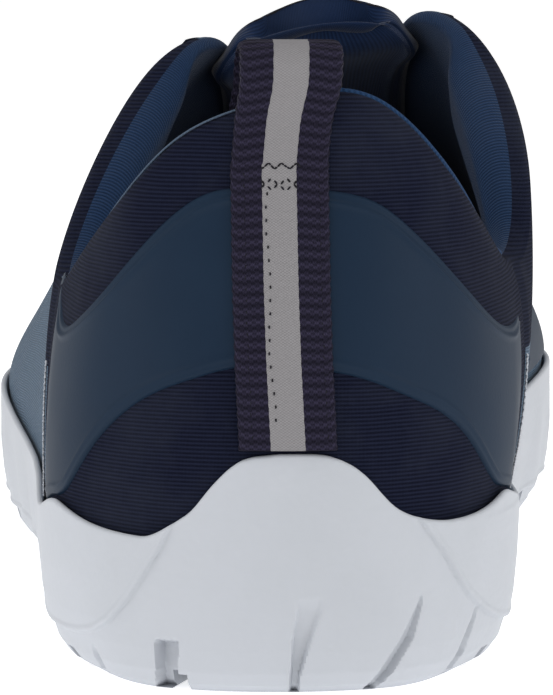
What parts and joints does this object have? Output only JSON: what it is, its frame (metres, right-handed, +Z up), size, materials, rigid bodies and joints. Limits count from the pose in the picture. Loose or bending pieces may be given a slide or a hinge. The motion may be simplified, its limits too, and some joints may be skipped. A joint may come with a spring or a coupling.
{
  "type": "barefoot shoe",
  "caption": "Left barefoot trail shoe: hollow knitted upper with padded collar and pull loop on a thin flat cup sole with lugs.",
  "frame": {"origin": "flat heel rest on the underside of the outsole, below the middle of the heel", "axes": "+Y towards the toe, +X towards the inner side of the foot, +Z up from the floor"},
  "size_m": [0.1052, 0.2833, 0.1022],
  "materials": {
    "sole_rubber": "matte",
    "knit": "ribbed knit",
    "overlay_film": "satin, finely grained",
    "tape": "woven tape",
    "lace_cloth": "woven lace",
    "lining": "brushed textile"
  },
  "bodies": {
    "root": {"outsole": "sole_rubber", "insole": "lining", "upper": "knit", "heel_band": "overlay_film", "side_panel": "overlay_film", "eyestay": "overlay_film", "tongue": "knit", "pull_loop": "tape", "laces": "lace_cloth"}
  },
  "joints": []
}
